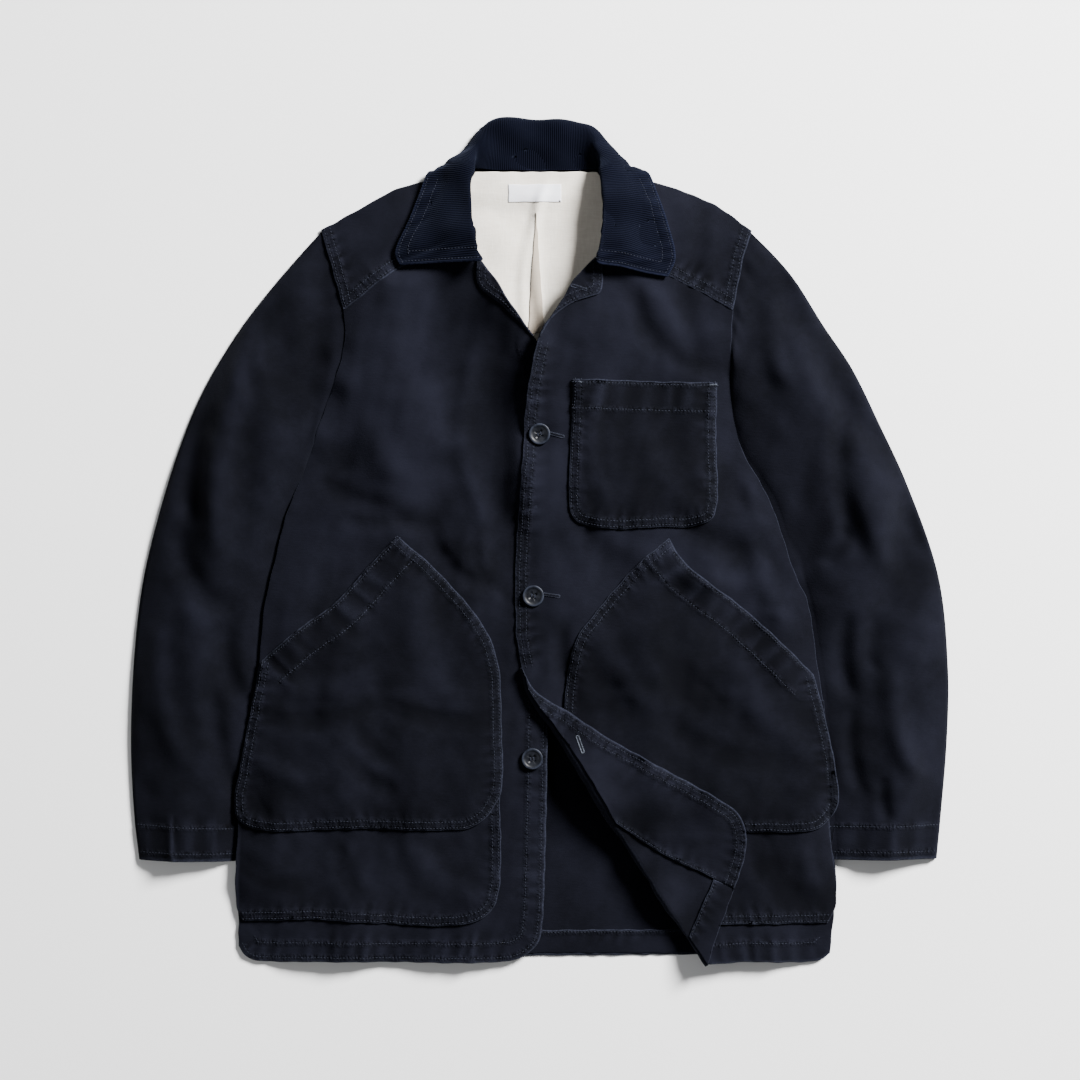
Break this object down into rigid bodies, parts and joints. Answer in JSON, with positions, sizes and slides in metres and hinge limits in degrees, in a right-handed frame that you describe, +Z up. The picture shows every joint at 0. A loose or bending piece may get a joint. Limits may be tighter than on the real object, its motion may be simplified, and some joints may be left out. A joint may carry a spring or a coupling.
{
  "type": "hunting jacket, laid flat",
  "caption": "Buttoned canvas hunting jacket laid flat on its back, with a corduroy collar, slanted pockets over lower pockets, and one front corner turned back.",
  "frame": {"origin": "on the surface the jacket lies on, under the middle of its box", "axes": "+Z up from the surface, +Y from the hem to the collar, +X towards the wearer's left"},
  "size_m": [0.792, 0.8159, 0.0392],
  "materials": {
    "navy_canvas": "washed cotton canvas, matte, with worn paler edges",
    "navy_corduroy": "fine-wale cotton corduroy, matte with a soft nap",
    "natural_lining": "slubby off-white cotton, matte",
    "white_label": "plain woven tape, left bare",
    "navy_plastic": "satin moulded plastic"
  },
  "bodies": {
    "root": {"back": "navy_canvas", "yoke": "navy_canvas", "front_right": "navy_canvas", "front_left": "navy_canvas", "facing_left_corner": "navy_canvas", "hem_left_corner": "navy_canvas", "back_hem": "navy_canvas", "lapel_right": "navy_canvas", "lapel_left": "navy_canvas", "sleeve_right": "navy_canvas", "sleeve_left": "navy_canvas", "chest_pocket": "navy_canvas", "waist_pocket_right": "navy_canvas", "waist_pocket_left": "navy_canvas", "lower_pocket_right": "navy_canvas", "lower_pocket_left": "navy_canvas", "collar": "navy_corduroy", "lining": "natural_lining", "lining_pleat": "natural_lining", "label": "white_label", "button_1": "navy_plastic", "button_2": "navy_plastic", "button_3": "navy_plastic"}
  },
  "joints": []
}
